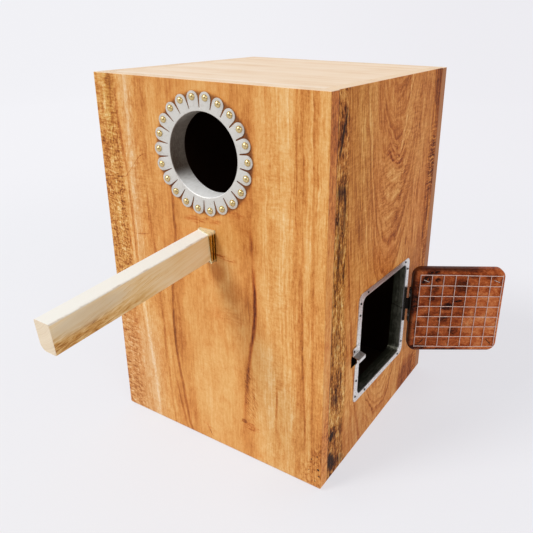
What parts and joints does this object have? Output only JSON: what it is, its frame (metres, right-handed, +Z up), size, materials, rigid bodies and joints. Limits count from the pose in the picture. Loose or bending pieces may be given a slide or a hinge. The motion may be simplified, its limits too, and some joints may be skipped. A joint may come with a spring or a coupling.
{
  "type": "nest box",
  "caption": "Upright timber nest box with a metal-rimmed round entrance, a square perch and a hinged inspection hatch lined with wire mesh.",
  "frame": {"origin": "centre of the base, at the height it stands on", "axes": "+Z up, the entrance and the perch face -Y, the inspection hatch faces +X"},
  "size_m": [0.5151, 0.6294, 0.55],
  "materials": {
    "box_timber": "planed, unvarnished, orange-brown with dark streaks",
    "roof_timber": "planed, pale",
    "perch_timber": "planed softwood",
    "door_timber": "planed, red-brown",
    "sheet_metal": "dull galvanised sheet",
    "brass": "polished",
    "dark_steel": "dark, weathered",
    "bright_steel": "bright zinc"
  },
  "bodies": {
    "box": {"front_wall": "box_timber", "back_wall": "box_timber", "left_wall": "box_timber", "right_wall": "box_timber", "floor_board": "box_timber", "roof_board": "roof_timber", "entrance_collar": "sheet_metal", "collar_nails": "brass", "perch": "perch_timber", "perch_socket": "brass", "hatch_liner": "sheet_metal", "liner_pins": "dark_steel", "hinge_fixed_leaf": "dark_steel", "hinge_pin": "bright_steel", "catch_bracket": "sheet_metal", "catch_nail": "dark_steel"},
    "door": {"hatch_door": "door_timber", "door_mesh": "bright_steel", "mesh_staples": "bright_steel", "hinge_door_leaf": "dark_steel", "leaf_screws": "bright_steel"}
  },
  "joints": [
    {"name": "hatch_door_hinge", "type": "hinge", "parent": "box", "child": "door", "pos_m": [0.189, 0.08196, 0.17358], "axis": [0, 0.0314, 0.9995], "range_deg": [-124, 26]}
  ]
}
